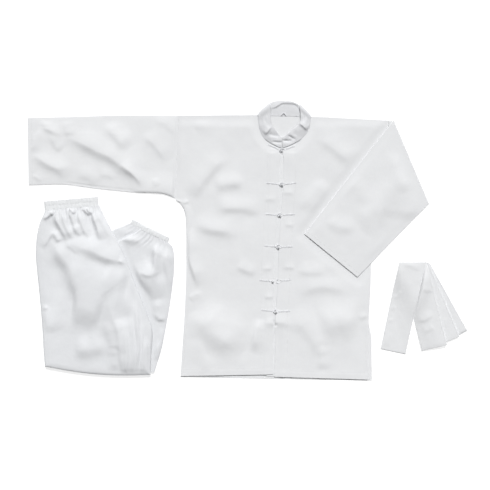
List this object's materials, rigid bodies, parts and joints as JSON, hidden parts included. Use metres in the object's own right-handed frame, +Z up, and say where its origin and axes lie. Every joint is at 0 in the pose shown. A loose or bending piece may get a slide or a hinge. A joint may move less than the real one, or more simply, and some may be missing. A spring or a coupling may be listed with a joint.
{
  "type": "tai chi uniform",
  "caption": "White cotton tai chi uniform laid flat: stand-collar jacket with frog fastenings and one sleeve folded over, folded gathered-waist trousers and a fan-folded belt.",
  "frame": {"origin": "middle of the laid-out set's base, on the surface that it lies on", "axes": "+X from the trousers across the jacket to the belt, +Y from the hem towards the collar, +Z up out of the surface"},
  "size_m": [1.2736, 0.81, 0.0243],
  "materials": {
    "cotton": "plain weave, soft and matt",
    "trouser_cotton": "plain weave, creased and matt",
    "elastic_band": "gathered over elastic",
    "belt_cotton": "doubled plain weave, pressed",
    "cord": "rolled cotton cord"
  },
  "bodies": {
    "root": {"jacket_back": "cotton", "jacket_front_right": "cotton", "jacket_front_left": "cotton", "jacket_underlap": "cotton", "jacket_sleeve_right": "cotton", "jacket_sleeve_left": "cotton", "jacket_collar": "cotton", "jacket_hanging_loop": "cord", "frog_1_knot": "cord", "frog_1_loop": "cord", "frog_2_knot": "cord", "frog_2_loop": "cord", "frog_3_knot": "cord", "frog_3_loop": "cord", "frog_4_knot": "cord", "frog_4_loop": "cord", "frog_5_knot": "cord", "frog_5_loop": "cord", "frog_6_knot": "cord", "frog_6_loop": "cord", "trousers_lower_leg_right": "trouser_cotton", "trousers_lower_leg_left": "trouser_cotton", "trousers_folded_layers": "trouser_cotton", "trousers_thigh": "trouser_cotton", "trousers_waistband": "elastic_band", "trousers_ankle_right": "elastic_band", "trousers_ankle_left": "elastic_band", "belt": "belt_cotton"}
  },
  "joints": []
}
